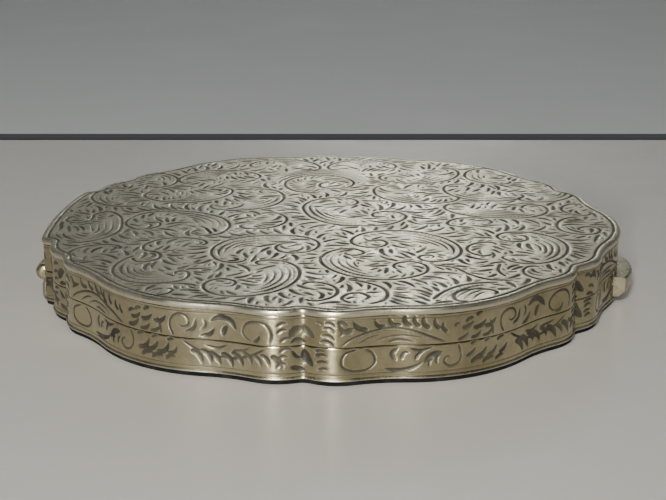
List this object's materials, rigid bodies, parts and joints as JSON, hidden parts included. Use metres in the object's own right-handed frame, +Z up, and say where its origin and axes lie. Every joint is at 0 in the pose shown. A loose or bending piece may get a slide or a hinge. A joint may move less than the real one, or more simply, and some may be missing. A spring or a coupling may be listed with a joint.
{
  "type": "powder compact",
  "caption": "Flat scalloped powder compact of engraved silver with a hinged lid, push-piece catch, mirror, inner powder door, sifter and puff.",
  "frame": {"origin": "centre of the flat rest face under the base", "axes": "+Z up through the closed lid, +X towards the push-piece, Y along the lid's hinge, which is on the -X side"},
  "size_m": [0.0862, 0.0828, 0.0099],
  "materials": {
    "engraved_silver": "hand-engraved silver, lines oxidised dark",
    "plain_silver": "plain worn silver",
    "gilt": "gilt, satin",
    "spring_steel": "drawn steel",
    "mirror": "silvered glass",
    "card": "pressed card",
    "face_powder": "pressed powder",
    "gauze": "fine woven gauze",
    "velour": "cotton velour",
    "satin": "satin ribbon"
  },
  "bodies": {
    "base": {"base_side_band": "engraved_silver", "base_bottom_plate": "engraved_silver", "base_knuckles": "plain_silver", "hinge_strap": "plain_silver", "hinge_pin": "plain_silver", "base_lip_ring": "gilt", "base_deck": "gilt", "powder_pan": "gilt", "deck_knuckles": "gilt", "sifter_ring": "gilt", "door_pin": "spring_steel", "door_spring": "spring_steel", "catch_bracket": "spring_steel", "catch_spring": "spring_steel", "powder_cake": "face_powder", "sifter_gauze": "gauze", "puff": "velour", "puff_ribbon": "satin"},
    "lid": {"lid_top_plate": "engraved_silver", "lid_side_band": "engraved_silver", "lid_knuckles": "plain_silver", "lid_striker": "plain_silver", "mirror_backing": "card", "mirror_glass": "mirror", "mirror_bezel": "gilt", "mirror_tabs": "gilt"},
    "door": {"powder_door": "gilt", "door_knuckles": "gilt", "door_tab": "gilt"},
    "push": {"push_piece": "plain_silver", "catch_hook": "spring_steel"}
  },
  "joints": [
    {"name": "lid_hinge", "type": "hinge", "parent": "base", "child": "lid", "pos_m": [-0.04045, 0, 0.0044], "axis": [0, -1, 0], "range_deg": [0, 115]},
    {"name": "door_hinge", "type": "hinge", "parent": "base", "child": "door", "pos_m": [-0.0337, 0, 0.0056], "axis": [0, -1, 0], "range_deg": [0, 52]},
    {"name": "push_slide", "type": "slide", "parent": "base", "child": "push", "axis": [-1, 0, 0], "range_m": [0, 0.0008], "stiffness_N_per_m": 300, "springref_m": -0.0015, "deforming": ["catch_spring"]}
  ],
  "couplings": [
    {"joint": "door_hinge", "follows": "lid_hinge", "ratio": 0.45}
  ]
}
